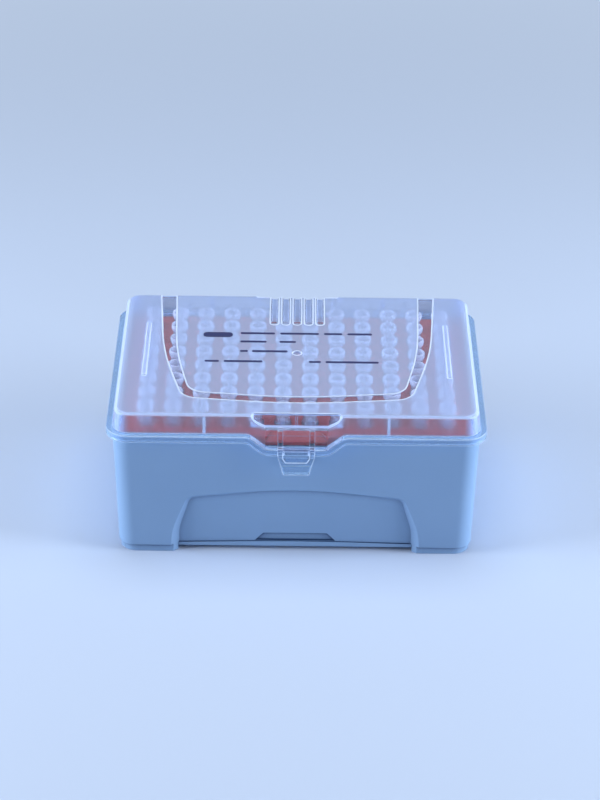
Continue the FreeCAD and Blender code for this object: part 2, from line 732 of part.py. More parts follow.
def make_rim():
    """The stepped rim that caps the edge of the tub and follows its dip at the front."""
    form = tray("rim_form", "wide / 2 + rim_over", "deep / 2 + rim_over", "rim_low", "rim_top",
                "corner + rim_over")
    pocket = tray("rim_pocket", "wide / 2 + rim_gap", "deep / 2 + rim_gap", "rim_low - past", "lid_low",
                  "corner + rim_gap")
    middle = tray("rim_middle", "wide / 2 - lid_wall", "deep / 2 - lid_wall", "rim_low - past",
                  "rim_top + past", "corner - lid_wall")
    dip_gap = block("rim_dip_gap", "-dip_half - past", "dip_half + past", "-deep", "-deep / 2 + lid_wall",
                    "rim_low - past", "rim_top + past")
    hinge_gap = block("rim_hinge_gap", "hinge_half - arm_span / 2", "hinge_half + arm_span / 2",
                      "deep / 2 + seat_gap", "deep", "rim_low - past", "rim_top + past")
    ring = less("rim_ring", form, pocket, middle, dip_gap, both_sides("rim_hinge_gaps", hinge_gap, ACROSS))
    outside = "-deep / 2 - rim_over"
    lip = dip_strip("dip_lip", outside, "-deep / 2 - rim_gap", "rim_shelf - rim_tall", "rim_shelf")
    shelf = dip_strip("dip_shelf", outside, "-deep / 2 + lid_wall", "seat_gap", "rim_shelf")
    above = dip_notch("dip_above", "-deep / 2", "-deep / 2 + lid_wall", "rim_shelf / 2")
    below_lid = block("dip_patch_height", "-wide / 2", "wide / 2", "-deep", "0", "tall - dip_deep", "lid_low")
    return joined("rim", ring, lip, shelf, shared("dip_patch", above, below_lid))


def make_latch():
    """The springy tab at the front, with its hook, pull lip, two gussets and the pocket between them."""
    root = "rim_top - dip_deep"
    root_low = "rim_low - dip_deep"
    back = "-deep / 2 - rim_gap - tab_step"
    side = prism("tab_side", "side", "-tab_half", "tab_half", [
        (back, root),
        ("tab_outer", f"{root} + tab_step"),
        ("tab_outer", "tab_low + flare_tall"),
        ("tab_outer - tab_lip", "tab_low + tab_foot"),
        ("tab_outer - tab_lip", "tab_low"),
        ("tab_inner", "tab_low"),
        ("tab_inner + hook_reach", "hook_low"),
        ("tab_inner + hook_reach", "hook_low + hook_tall / 2"),
        ("tab_inner", "hook_high"),
        ("tab_inner", root_low),
        (back, root_low),
    ])
    face = prism("tab_face", "front", "-deep", "-deep / 2", both_halves([
        ("tab_half", f"{root} + past"),
        ("tab_half", root_low),
        ("tab_half - tab_taper", "tab_low"),
    ]), {2: "tab_lip / 2", 3: "tab_lip / 2"})
    gusset = prism("gusset", "side", "gusset_half - gusset_thick / 2", "gusset_half + gusset_thick / 2", [
        ("-deep / 2 + lid_wall / 2", "tall + gusset_rise"),
        ("-deep / 2 - rim_gap", "tall + gusset_rise"),
        ("tab_outer", f"{root} + tab_step"),
        ("tab_outer", root_low),
        (back, root_low),
        (back, root),
        ("-deep / 2 + lid_wall / 2", root),
    ])
    rail = "gusset_half - gusset_thick / 2"
    pocket = prism("pocket", "front", "tab_outer - past", "tab_outer + pocket_deep", both_halves([
        (rail, f"{root} + past"),
        (rail, root_low),
        (f"{rail} - pocket_taper", "tab_low + flare_tall"),
    ]))
    slot_top = f"{root} + tab_step"
    slot = block("slot", f"{rail} - slot_wide", rail, "tab_outer - past", "tab_inner",
                 f"{slot_top} - slot_tall", f"{slot_top} + past")
    tab = less("tab_open", shared("tab", side, face), both_sides("slots", slot, ACROSS), pocket)
    return [tab, both_sides("gussets", gusset, ACROSS)]


def make_arms():
    """The two hinge arms on the right-hand side, with the pin that joins them."""
    inner = "hinge_half - arm_span / 2 - arm_thick"
    outer = "hinge_half + arm_span / 2"
    profile = [
        ("deep / 2 - lid_draft - lid_wall / 2", "tall + arm_rise"),
        ("deep / 2 - lid_draft / 2", "tall + arm_rise"),
        ("hinge_back + arm_round", "rim_top"),
        ("hinge_back + arm_round", "hinge_high - arm_round"),
        ("hinge_back - arm_round", "hinge_high - arm_round"),
        ("hinge_back - arm_round", "lid_low"),
        ("deep / 2 - lid_wall / 2", "lid_low"),
    ]
    ends = dict.fromkeys((3, 4), "arm_round * most_round")
    arms = [prism(name, "side", left, f"{left} + arm_thick", profile, ends)
            for name, left in (("arm_inner", inner), ("arm_outer", outer))]
    return joined("arms", *arms, hinge_bar("hinge_pin", "pin_wide / 2", f"{inner} + arm_thick / 2",
                                           f"{outer} + arm_thick / 2"))


def write_parts(parts):
    """Check every object and solid, then write one file for each part."""
    doc.recompute()
    for thing in doc.Objects:
        if "Invalid" in thing.State or "Error" in thing.State:
            raise RuntimeError(f"{thing.Label} is {thing.State}")
    os.makedirs("parts", exist_ok=True)
    for part in parts:
        shape = part.Shape
        if shape.isNull() or not shape.isValid() or not shape.Solids:
            raise RuntimeError(f"{part.Label} has no sound solid")
        shape.exportStep(f"parts/{part.Label}.step")
        print(part.Label, len(shape.Solids), round(shape.Volume, 1))


write_parts([make_tub(), make_rack(), make_lid(), *make_tips(), *make_filters()])
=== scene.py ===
import math

import bpy
from mathutils import Matrix, Vector


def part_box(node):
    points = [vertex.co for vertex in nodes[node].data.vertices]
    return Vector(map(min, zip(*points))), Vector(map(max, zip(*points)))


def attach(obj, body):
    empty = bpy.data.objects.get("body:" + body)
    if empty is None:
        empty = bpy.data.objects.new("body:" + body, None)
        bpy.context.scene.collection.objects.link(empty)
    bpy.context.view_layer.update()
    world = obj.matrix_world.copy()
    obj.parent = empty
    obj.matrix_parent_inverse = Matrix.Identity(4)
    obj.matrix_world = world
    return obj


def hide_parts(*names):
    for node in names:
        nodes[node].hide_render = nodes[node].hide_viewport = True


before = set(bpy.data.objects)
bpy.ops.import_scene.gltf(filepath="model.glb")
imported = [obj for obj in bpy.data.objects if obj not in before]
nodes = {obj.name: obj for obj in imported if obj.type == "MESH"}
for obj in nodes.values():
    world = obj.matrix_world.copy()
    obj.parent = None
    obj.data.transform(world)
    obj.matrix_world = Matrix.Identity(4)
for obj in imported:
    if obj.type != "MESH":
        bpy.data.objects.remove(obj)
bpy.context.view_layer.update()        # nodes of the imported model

mm = 0.001
polypropyleneIor = 1.49


def hexToLinear(code):
    # sRGB hex to the linear colour that shaders take
    channels = [int(code[i:i + 2], 16) / 255 for i in (1, 3, 5)]
    linear = [c / 12.92 if c <= 0.04045 else ((c + 0.055) / 1.055) ** 2.4 for c in channels]
    return (*linear, 1.0)


def addNode(tree, kind, inputs=None, **settings):
    # one node with its settings, then its inputs as values or links
    node = tree.nodes.new(kind)
    for name, value in settings.items():
        setattr(node, name, value)
    for socket, value in (inputs or {}).items():
        if isinstance(value, bpy.types.Node):
            value = value.outputs[0]
        if isinstance(value, bpy.types.NodeSocket):
            tree.links.new(value, node.inputs[socket])
        else:
            node.inputs[socket].default_value = value
    return node


def newMaterial(name):
    material = bpy.data.materials.new(name)
    material.use_nodes = True
    material.node_tree.nodes.clear()
    return material, material.node_tree


def millimetres(tree):
    # object coordinates in millimetres, which stay with the piece when it moves
    place = addNode(tree, "ShaderNodeTexCoord").outputs["Object"]
    return addNode(tree, "ShaderNodeVectorMath", {0: place, "Scale": 1 / mm}, operation="SCALE")


def meshPiece(name, points, faces, material, smoothAngle=35):
    # a smooth-shaded piece, sharp where two faces meet at more than smoothAngle degrees
    mesh = bpy.data.meshes.new(name)
    mesh.from_pydata(points, [], faces)
    mesh.update()
    piece = bpy.data.objects.new(name, mesh)
    bpy.context.scene.collection.objects.link(piece)
    mesh.materials.append(material)
    for face in mesh.polygons:
        face.use_smooth = True
    mesh.set_sharp_from_angle(angle=math.radians(smoothAngle))
    return piece


print("frame loaded:", len(nodes), "nodes")

# camera: at the eyes of someone sitting at the table, looking down on the front of the box
camera = {
    "lens": 115.0,
    "place": (-0.0022, -0.7513, 0.4780),
    "tilt": 30.49,      # degrees below the horizon
    "turn": 0.26,       # degrees to the right
    "roll": 0.78,
}
cameraData = bpy.data.cameras.new("camera")
cameraData.lens = camera["lens"]
cameraObject = bpy.data.objects.new("camera", cameraData)
bpy.context.scene.collection.objects.link(cameraObject)
cameraObject.matrix_world = (
    Matrix.Translation(camera["place"])
    @ Matrix.Rotation(math.radians(-camera["turn"]), 4, "Z")
    @ Matrix.Rotation(math.radians(90 - camera["tilt"]), 4, "X")
    @ Matrix.Rotation(math.radians(camera["roll"]), 4, "Z")
)
bpy.context.scene.camera = cameraObject

# studio: a pale blue paper sweep, a soft room and four softboxes
studio = {
    "floor": "#BCCDE6",
    "roughness": 0.85,
    "sweep": (6.0, -3.0, 3.0, 2.4),     # m: width, front edge, back edge and height
    "bend": 0.8,                # m, radius of the bend at the back
    "bendSteps": 12,
    "grain": 20 / 3,            # mm, coarser than real fibres so that it shows
    "grainDeep": 0.2,           # mm
    "grainStrength": 0.03,
    "fades": (0.22, 0.55),      # m from the box, over which the paper passes into an even backdrop
    "room": "#D8E6FC",
    "roomLevel": 0.16,
    # place, size, watts and colour of each softbox, and whether reflections show it:
    # the low pair would glare on the lid
    "softboxes": {
        "topBox": ((0.0, 0.10, 0.90), 0.60, 3.4, "#FFFFFF", True),
        "frontBox": ((-0.15, -0.80, 0.85), 0.50, 1.1, "#FFFFFF", True),
        "leftBox": ((-0.78, -0.14, 0.20), 0.35, 8.8, "#F6F9FF", False),
        "rightBox": ((0.78, -0.14, 0.20), 0.35, 9.6, "#F6F9FF", False),
    },
    "aim": (0, 0, 0.03),
}


def matteStudioPaper(name):
    # dead matt paper with a faint fibre; far from the box it gives the eye one even tone
    material, tree = newMaterial(name)
    grains = studio["sweep"][0] / (studio["grain"] * mm)        # across the width of the sweep
    grain = addNode(tree, "ShaderNodeTexNoise", {"Scale": grains, "Detail": 2.0})
    bump = addNode(tree, "ShaderNodeBump", {
        "Height": grain, "Strength": studio["grainStrength"], "Distance": studio["grainDeep"] * mm})
    lit = addNode(tree, "ShaderNodeBsdfPrincipled", {
        "Base Color": hexToLinear(studio["floor"]), "Roughness": studio["roughness"], "Normal": bump})

    # 1 where the view, a reflection or a look through the plastic ends on the paper,
    # 0 where the paper only gives light to the box
    rays = addNode(tree, "ShaderNodeLightPath").outputs
    direct = addNode(tree, "ShaderNodeMath", {0: rays["Is Camera Ray"], 1: rays["Is Glossy Ray"]},
                     operation="MAXIMUM")
    seen = addNode(tree, "ShaderNodeMath", {0: direct, 1: rays["Is Transmission Ray"]},
                   operation="MAXIMUM")
    place = addNode(tree, "ShaderNodeTexCoord").outputs["Object"]
    away = addNode(tree, "ShaderNodeVectorMath", {0: place}, operation="LENGTH").outputs["Value"]
    faded = addNode(tree, "ShaderNodeMapRange", {
        "Value": away, "From Min": studio["fades"][0], "From Max": studio["fades"][1]})
    share = addNode(tree, "ShaderNodeMath", {0: faded, 1: seen}, operation="MULTIPLY")
    even = addNode(tree, "ShaderNodeEmission", {"Color": hexToLinear(studio["floor"])})
    paper = addNode(tree, "ShaderNodeMixShader", {0: share, 1: lit, 2: even})
    addNode(tree, "ShaderNodeOutputMaterial", {"Surface": paper})
    return material


def makeFloor():
    # a sweep: flat under the box, rising far behind it
    width, near, far, rise = studio["sweep"]
    bend, steps = studio["bend"], studio["bendSteps"]
    profile = [(near, 0.0), (far - bend, 0.0)]
    for step in range(1, steps + 1):
        turn = step / steps * math.pi / 2
        profile.append((far - bend + bend * math.sin(turn), bend - bend * math.cos(turn)))
    profile.append((far, rise))
    points = [(side * width / 2, y, z) for y, z in profile for side in (-1, 1)]
    faces = [(i, i + 1, i + 3, i + 2) for i in range(0, len(points) - 2, 2)]
    floor = meshPiece("floor", points, faces, matteStudioPaper("matteStudioPaper"))


def makeLights():
    world = bpy.data.worlds.new("softRoom")
    world.use_nodes = True
    bpy.context.scene.world = world
    tree = world.node_tree
    tree.nodes.clear()
    light = addNode(tree, "ShaderNodeBackground", {
        "Color": hexToLinear(studio["room"]), "Strength": studio["roomLevel"]})
    addNode(tree, "ShaderNodeOutputWorld", {"Surface": light})
    for name, (place, size, watts, colour, shows) in studio["softboxes"].items():
        lamp = bpy.data.lights.new(name, "AREA")
        lamp.shape = "SQUARE"
        lamp.size = size
        lamp.energy = watts
        lamp.color = hexToLinear(colour)[:3]
        lampObject = bpy.data.objects.new(name, lamp)
        bpy.context.scene.collection.objects.link(lampObject)
        lampObject.location = place
        lampObject.visible_glossy = shows
        aim = Vector(studio["aim"]) - Vector(place)
        lampObject.rotation_euler = aim.to_track_quat("-Z", "Y").to_euler()


makeFloor()
makeLights()
print("studio ready")

# satin plastic: what the mouldings of the tub and the rack have in common
satin = {
    "cloud": 30,            # mm, size of the faint clouds in the colour
    "closed": 0.68,         # openness at which a crevice has its full painted shade
    "grainStrength": 0.12,
    "grainDeep": 0.03,      # mm
    "glossSpan": 0.05,      # how far the roughness strays either way
}

# tub: opaque polypropylene, injection moulded with a fine satin texture
tub = {
    "colour": "#7F9FC4",
    "shade": "#7797BD",     # of the clouds
    "roughness": 0.38,
    "grain": 0.35,          # mm, spark-eroded mould texture, drawn a little coarse so that it shows
    "edge": 0.15,           # mm, radius that the mould leaves on each edge
    "paintedShadeReach": 2.6,         # mm, how far out of an inner corner the painted shade reaches
    "deep": "#27426C",      # that painted shade, a darker tone where shade falls in inner corners
}


def satinPolypropylene(name, settings):
    # a dense satin plastic: soft wide highlights, faint clouds in the colour, edges that catch light,
    # and painted shade in its inner corners
    material, tree = newMaterial(name)
    place = millimetres(tree)
    cloud = addNode(tree, "ShaderNodeTexNoise", {
        "Vector": place, "Scale": 1 / satin["cloud"], "Detail": 2.0})
    clouded = addNode(tree, "ShaderNodeMix", {
        "Factor": cloud, "A": hexToLinear(settings["colour"]), "B": hexToLinear(settings["shade"])},
        data_type="RGBA")
    # painted shade: ambient occlusion darkens the colour in inner corners and creases, where shade
    # falls
    corners = addNode(tree, "ShaderNodeAmbientOcclusion", {"Distance": settings["paintedShadeReach"] * mm},
                      samples=8, only_local=True)
    openToLight = addNode(tree, "ShaderNodeMapRange", {
        "Value": corners.outputs["AO"], "From Min": satin["closed"], "From Max": 1.0})
    colour = addNode(tree, "ShaderNodeMix", {
        "Factor": openToLight, "A": hexToLinear(settings["deep"]), "B": clouded.outputs["Result"]},
        data_type="RGBA")
    grain = addNode(tree, "ShaderNodeTexNoise", {
        "Vector": place, "Scale": 1 / settings["grain"], "Detail": 2.0, "Roughness": 0.6})
    eased = addNode(tree, "ShaderNodeBevel", {"Radius": settings["edge"] * mm}, samples=4)
    bump = addNode(tree, "ShaderNodeBump", {
        "Height": grain, "Strength": satin["grainStrength"], "Distance": satin["grainDeep"] * mm,
        "Normal": eased})
    gloss = addNode(tree, "ShaderNodeMapRange", {
        "Value": grain, "To Min": settings["roughness"] - satin["glossSpan"],
        "To Max": settings["roughness"] + satin["glossSpan"]})
    shader = addNode(tree, "ShaderNodeBsdfPrincipled", {
        "Base Color": colour.outputs["Result"], "Roughness": gloss, "IOR": polypropyleneIor,
        "Normal": bump})
    addNode(tree, "ShaderNodeOutputMaterial", {"Surface": shader})
    return material


nodes["base_tub"].material_slots[0].material = satinPolypropylene("tubPolypropylene", tub)

# rack: coral polypropylene plate that carries the tips, moulded as the tub is
rack = {
    "colour": "#BA4C49",
    "shade": "#B24546",
    "roughness": 0.42,
    "grain": 0.3,       # mm
    "edge": 0.15,       # mm
    "paintedShadeReach": 0.8,     # mm, reach of its painted shade, less than the tub's, so that the plate stays coral between the tips
    # its painted shade in inner corners
    "deep": "#8C343C",
}
nodes["rack_plate"].material_slots[0].material = satinPolypropylene("rackPolypropylene", rack)
print("tub and rack finished")

# tips: natural polypropylene, thin and milky, with ribbed collars
tipLow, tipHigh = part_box("tips_column_01")
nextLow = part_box("tips_column_02")[0]
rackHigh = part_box("rack_plate")[1]
pitch = nextLow.x - tipLow.x
rows = int((tipHigh.y - tipLow.y) / pitch) + 1
collarTall = (tipHigh.z - rackHigh.z) / mm
tipDrop = (rackHigh.z - tipLow.z) / mm
tipRadius = (tipHigh.x - tipLow.x) / 2 / mm
tip = {
    "colour": "#F2F5FC",
    "roughness": 0.22,
    "segments": 36,
    "flutes": 12,
    "fluteDeep": 0.10,          # mm
    "fluted": range(4, 10),     # the rings of the collar's outline that the flutes run over
    "wall": 0.35,               # mm
    # outline of the collar: shares of its height above the rack, and of the widest radius
    "collar": (
        (0.00, 0.93), (0.04, 0.99), (0.12, 1.00), (0.19, 0.96), (0.26, 0.86), (0.36, 0.79),
        (0.50, 0.77), (0.60, 0.80), (0.68, 0.86), (0.705, 0.90), (0.72, 0.97), (0.75, 0.995),
        (0.80, 0.995), (0.815, 0.955), (0.83, 0.955), (0.845, 0.995), (0.88, 1.00), (0.94, 0.99),
        (0.98, 0.965), (1.00, 0.91),
    ),
    # the bore, down from the rim, and the top of the shaft
    "bore": (
        (1.00, 0.80), (0.985, 0.77), (0.90, 0.745), (0.70, 0.69), (0.40, 0.625), (0.00, 0.60),
        (-0.24, 0.575),
    ),
    "taper": ((0.00, 0.785), (-0.02, 0.78)),
    # shares of the length below the rack: graduation rings, and further rings of points
    "marks": (0.30, 0.55),
    "outerRings": (0.98, 0.8),
    "innerRings": (0.3, 0.6, 0.98, 1.0),
    "markTall": (0.25, 0.12),   # mm, half height of a graduation ring at its foot and at its face
    "markHigh": 0.05,           # mm that it stands out
    "endRadius": 0.34,          # mm
    "leastBore": 0.16,          # mm, radius
    "clearLow": 0.92,           # share of light let straight through at the rack, and at the rim
    "clearHigh": 0.40,
    "clearFrom": 0.4,           # share of the collar's height from which the first turns to the second
    "flow": 2.5,                # mm, size of the uneven patches in the milkiness
    "flowShare": 0.12,
    "edgeMilk": 0.50,           # how much milkier the wall is where it is seen on end
    "fade": 0.60,               # share of light that passes the thin lower walls unbent
    "fadeOver": (0.35, 0.75),   # shares of the collar's height over which that ends
    "translucent": 0.20,        # share of the light that glows through at the rim
    "shadeTint": "#DDE8F8",
    "shadeClear": 0.6,          # how far its shadow is lifted, since light passes the wall
}


def revolve(profile, segments, ripple=None):
    # rings of points about +Z through a list of (radius, height) in millimetres
    points = []
    for index, (radius, height) in enumerate(profile):
        for step in range(segments):
            turn = 2 * math.pi * step / segments
            out = radius + (ripple(index, turn) if ripple else 0)
            points.append((out * math.cos(turn) * mm, out * math.sin(turn) * mm, height * mm))
    return points


def ringFaces(rings, segments, closed):
    # faces between neighbouring rings, and from the last to the first where the form is closed
    faces = []
    for ring in range(rings if closed else rings - 1):
        base, above = ring * segments, (ring + 1) % rings * segments
        for step in range(segments):
            after = (step + 1) % segments
            faces.append((base + step, base + after, above + after, above + step))
    return faces


def repeatedInColumn(points, faces, count):
    # the same form at each place of a column, along Y
    allPoints, allFaces = [], []
    for row in range(count):
        shift = (row - (count - 1) / 2) * pitch
        start = len(allPoints)
        allPoints += [(x, y + shift, z) for x, y, z in points]
        allFaces += [tuple(start + i for i in face) for face in faces]
    return allPoints, allFaces


def tipProfile():
    # outside from the end up to the rim, then the bore back down to the end
    waist = tip["taper"][0][1] * tipRadius
    narrowing = waist - tip["endRadius"]
    foot, face = tip["markTall"]
    outside = [(tip["endRadius"], -tipDrop)]
    for share in tip["outerRings"]:
        outside.append((waist - narrowing * share, -tipDrop * share))
    for mark in sorted(tip["marks"], reverse=True):
        radius, height = waist - narrowing * mark, -tipDrop * mark
        raised = radius + tip["markHigh"]
        outside += [(radius, height - foot), (raised, height - face),
                    (raised, height + face), (radius, height + foot)]
    for height, share in reversed(tip["taper"]):
        outside.append((share * tipRadius, height * collarTall))
    collarStart = len(outside)
    outside += [(share * tipRadius, height * collarTall) for height, share in tip["collar"]]
    inside = [(share * tipRadius, height * collarTall) for height, share in tip["bore"]]
    for share in tip["innerRings"]:
        radius = waist - narrowing * share - tip["wall"]
        inside.append((max(radius, tip["leastBore"]), -tipDrop * share))
    return outside + inside, collarStart


def makeTips(material):
    profile, collarStart = tipProfile()

    def flutes(index, turn):
        if index - collarStart not in tip["fluted"]:
            return 0
        return tip["fluteDeep"] * math.cos(tip["flutes"] * turn)

    points = revolve(profile, tip["segments"], flutes)
    faces = ringFaces(len(profile), tip["segments"], True)
    columnPoints, columnFaces = repeatedInColumn(points, faces, rows)
    return meshPiece("tipColumn01", columnPoints, columnFaces, material, 40)


def naturalPolypropylene(name):
    # thin natural plastic: milky but see-through, pale edges where the wall is seen on end
    material, tree = newMaterial(name)
    place = millimetres(tree)
    flow = addNode(tree, "ShaderNodeTexNoise", {
        "Vector": place, "Scale": 1 / tip["flow"], "Detail": 1.0})
    height = addNode(tree, "ShaderNodeSeparateXYZ", {0: place}).outputs["Z"]
    thin = addNode(tree, "ShaderNodeMapRange", {
        "Value": height, "From Min": collarTall * tip["clearFrom"], "From Max": collarTall,
        "To Min": tip["clearLow"], "To Max": tip["clearHigh"]})
    clear = addNode(tree, "ShaderNodeMath", {0: flow, 1: tip["flowShare"], 2: thin},
                    operation="MULTIPLY_ADD")
    grazing = addNode(tree, "ShaderNodeLayerWeight", {"Blend": 0.3}).outputs["Facing"]
    through = addNode(tree, "ShaderNodeMath", {0: grazing, 1: -tip["edgeMilk"], 2: clear},
                      operation="MULTIPLY_ADD", use_clamp=True)
    surface = addNode(tree, "ShaderNodeBsdfPrincipled", {
        "Base Color": hexToLinear(tip["colour"]), "Roughness": tip["roughness"],
        "IOR": polypropyleneIor, "Transmission Weight": through})
    inside = addNode(tree, "ShaderNodeBsdfTranslucent", {"Color": hexToLinear(tip["colour"])})
    glowing = addNode(tree, "ShaderNodeMapRange", {
        "Value": height, "From Min": 0.0, "From Max": collarTall,
        "To Min": 0.0, "To Max": tip["translucent"]})
    body = addNode(tree, "ShaderNodeMixShader", {0: glowing, 1: surface, 2: inside})
    fadeFrom, fadeTo = tip["fadeOver"]
    fading = addNode(tree, "ShaderNodeMapRange", {
        "Value": height, "From Min": collarTall * fadeFrom, "From Max": collarTall * fadeTo,
        "To Min": tip["fade"], "To Max": 0.0})
    unbent = addNode(tree, "ShaderNodeBsdfTransparent", {"Color": hexToLinear(tip["colour"])})
    shader = addNode(tree, "ShaderNodeMixShader", {0: fading, 1: body, 2: unbent})

    # for shadows part of the wall is plain clear, so that light reaches the rack
    light = addNode(tree, "ShaderNodeBsdfTransparent", {"Color": hexToLinear(tip["shadeTint"])})
    shadow = addNode(tree, "ShaderNodeLightPath").outputs["Is Shadow Ray"]
    part = addNode(tree, "ShaderNodeMath", {0: shadow, 1: tip["shadeClear"]}, operation="MULTIPLY")
    mixed = addNode(tree, "ShaderNodeMixShader", {0: part, 1: shader, 2: light})
    addNode(tree, "ShaderNodeOutputMaterial", {"Surface": mixed})
    return material


def placeColumns(first, nodePrefix, piecePrefix):
    # one piece for each column of the frame, all with the same mesh
    names = sorted(name for name in nodes if name.startswith(nodePrefix))
    for number, name in enumerate(names, start=1):
        low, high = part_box(name)
        middle = (low + high) / 2
        piece = first if number == 1 else first.copy()
        piece.name = f"{piecePrefix}{number:02d}"
        if number > 1:
            bpy.context.scene.collection.objects.link(piece)
        piece.location = (middle.x, middle.y, rackHigh.z)
        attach(piece, "base")
        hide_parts(name)


placeColumns(makeTips(naturalPolypropylene("tipPolypropylene")), "tips_column", "tipColumn")
print("tips placed:", rows, "in each column")

# filters: porous polyethylene plugs, sintered from beads
plug = {
    "colour": "#E9EEF7",
    "roughness": 0.9,
    "bead": 0.25,       # mm
    "beadHigh": 0.1,    # mm
    "porous": 0.4,      # share of light that finds a way through the pores
    "segments": 24,
    "fit": 0.94,        # its radius as a share of its node's, so that it clears the ribbed tip
    "round": 0.2,       # mm
    "flat": 1.2,        # mm, from the side in to the middle face of each end
}
plugLow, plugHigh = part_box("filters_column_01")


def sinteredPolyethylene(name):
    # white and dead matt, with a granular surface of fused beads
    material, tree = newMaterial(name)
    beads = addNode(tree, "ShaderNodeTexVoronoi", {
        "Vector": millimetres(tree), "Scale": 1 / plug["bead"]})
    bump = addNode(tree, "ShaderNodeBump", {
        "Height": beads, "Strength": 0.5, "Distance": plug["beadHigh"] * mm}, invert=True)
    shader = addNode(tree, "ShaderNodeBsdfPrincipled", {
        "Base Color": hexToLinear(plug["colour"]), "Roughness": plug["roughness"], "Normal": bump})
    pores = addNode(tree, "ShaderNodeBsdfTransparent")
    porous = addNode(tree, "ShaderNodeMixShader", {0: plug["porous"], 1: shader, 2: pores})
    addNode(tree, "ShaderNodeOutputMaterial", {"Surface": porous})
    return material


def makeFilters(material):
    low, high = (plugLow.z - rackHigh.z) / mm, (plugHigh.z - rackHigh.z) / mm
    radius = (plugHigh.x - plugLow.x) / 2 / mm * plug["fit"]
    ease, segments = plug["round"], plug["segments"]
    flat, knee = radius - plug["flat"], ease * 0.3      # the knee is a third point on the upper round
    profile = [(flat, low), (radius - ease, low), (radius, low + ease), (radius, high - ease),
               (radius - knee, high - knee), (radius - ease, high), (flat, high)]
    points = revolve(profile, segments)
    faces = ringFaces(len(profile), segments, False)
    faces.append(tuple(reversed(range(segments))))
    faces.append(tuple(range(len(points) - segments, len(points))))
    columnPoints, columnFaces = repeatedInColumn(points, faces, rows)
    return meshPiece("filterColumn01", columnPoints, columnFaces, material, 40)


placeColumns(makeFilters(sinteredPolyethylene("filterPolyethylene")), "filters_column",
             "filterColumn")
print("filters placed")

# lid: clear polypropylene from one mould, part polished and part frosted
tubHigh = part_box("base_tub")[1]
lid = {
    "clearTint": "#D6D8DE",     # where it is polished
    "milkyTint": "#B9CFF8",     # where it scatters light
    "rimTint": "#A2C0DC",
    "paintedGlowTint": "#DCEAFF",      # painted glow along edges
    "shadeTint": "#EEF4FF",     # of the light that passes it
    "shadeClear": 0.9,          # how far its shadow is lifted
    # how rough each finish is, its share of milky scatter, and how far its edges get the painted glow
    "frosted": (0.36, 0.50, 0.9),       # the top, beside the label panel
    "satin": (0.07, 0.53, 0.9),         # the label panel and the gate mark
    "polished": (0.04, 0.07, 0.9),      # the sunk band round the panel
    "misty": (0.48, 0.08, 0.5),         # the walls
    "clear": (0.04, 0.02, 0.30),        # the front window and the inside
    "glossy": (0.22, 0.26, 0.8),        # the rim
    "thin": (0.15, 0.20, 0.9),          # the latch tab
    "pale": (0.25, 0.45, 0.9),          # the rounds between two walls
    "paintedHighlight": (0.25, 0.85, 0.9),        # painted highlight: ribs, shoulders and the lips of round and scoop, milky and pale so that they read as bright lines
    "milkyAt": 0.2,             # share of scatter at which the tint is the milky one
    "glowWide": 0.45,           # mm
    "glowTurn": (0.995, 0.90),  # cosines of the turn at an edge where its glow begins and is full
    "edge": 0.22,               # mm, radius of an edge
    "frost": 0.4,               # mm, grain of the frosting, drawn coarse so that it shows
    "frostDeep": 0.02,          # mm
    "frostShare": 0.15,         # its strength, as a share of the roughness
    # every size below is in mm
    "top": tipHigh.z / mm + 2.2,        # outer face of the top
    "wallLine": (rackHigh.x / mm + 0.9, rackHigh.y / mm + 0.9),     # amid the thickness of the walls
    "underTop": 0.85,           # below the top, where the walls begin
    "roundTall": 0.9,           # the round where the top turns down into the walls
    "roundShare": 0.45,         # share of each half of the round that is bright
    "turn": 4.5,                # along a wall, the round where two walls meet
    "shoulder": 2.8,            # along the top, where it eases down to the short walls
    # the U of the label panel: half width at the back, how fast its sides close in,
    # middle of its front line, bow of that line
    "panel": (44.9, 0.00179, -31.4, 0.0026),
    "panelBack": 6.1,           # from the back of the tub to the back of the U
    "panelCorner": 3.0,
    "bandDeep": 0.35,
    "bandNear": 0.1,            # how near to the band's floor a point of it lies
    "gate": 2.0,                # radius of the gate mark
    "window": (8.0, 12.0),      # half widths of the polished part of the front wall, full and fading
    "rimTall": 1.0,             # above the tub
    "dip": (10.1, 15.6, 4.6),   # of the rim at the front: half widths of floor and mouth, and depth
    "tabHalf": 6.0,             # half width of the latch tab
    "ribs": (30.0, 15.2),       # where a rib stands behind the long and the short walls
    "ribHalf": 0.45,
    "scoopTall": 4.65,
    "scoopSide": (12.4, 2.5),   # its splayed ends: middle, and how far to either side
    "scoopDeep": (-0.95, 0.45),         # from the front wall's line, back and forward
    "scoopEnds": (0.3, 0.05),   # how far its bright ends pass the ledge and stop below the top
    "ledgeHalf": 0.25,          # half height of the bright line of its ledge
    "far": 200.0,               # beyond any part of the lid
}


